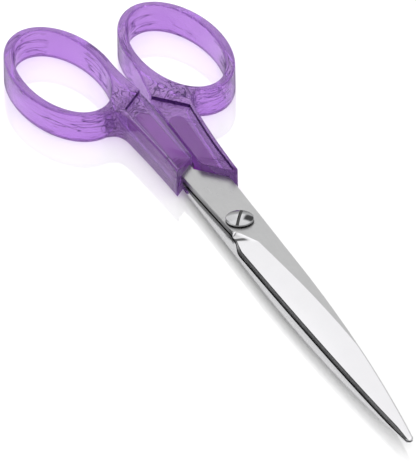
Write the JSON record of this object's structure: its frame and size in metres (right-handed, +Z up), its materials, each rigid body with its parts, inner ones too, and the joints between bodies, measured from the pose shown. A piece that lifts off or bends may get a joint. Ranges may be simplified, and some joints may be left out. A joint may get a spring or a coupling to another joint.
{
  "type": "craft scissors",
  "caption": "Straight-blade craft scissors with clear moulded finger loops and a slotted pivot screw, opening about one hinge.",
  "frame": {"origin": "middle of the footprint, on the surface that the handles rest on, with the scissors lying flat and closed", "axes": "+Y from the points towards the finger loops, +Z up through the pivot, +X towards the lower blade's handle"},
  "size_m": [0.0552, 0.2032, 0.0075],
  "materials": {
    "handle_acrylic": "clear purple acrylic, moulded and glossy",
    "blade_steel": "fine-ground flats, polished hollow grind, sharpened edge",
    "pivot_steel": "bright plated steel with light tool marks"
  },
  "bodies": {
    "lower_half": {"lower_blade": "blade_steel", "lower_handle": "handle_acrylic", "pivot_screw": "pivot_steel", "pivot_nut": "pivot_steel"},
    "upper_half": {"upper_blade": "blade_steel", "upper_handle": "handle_acrylic"}
  },
  "joints": [
    {"name": "pivot", "type": "hinge", "parent": "lower_half", "child": "upper_half", "pos_m": [0, 0.0024, 0.0033], "axis": [0, 0, 1], "range_deg": [0, 100]}
  ]
}
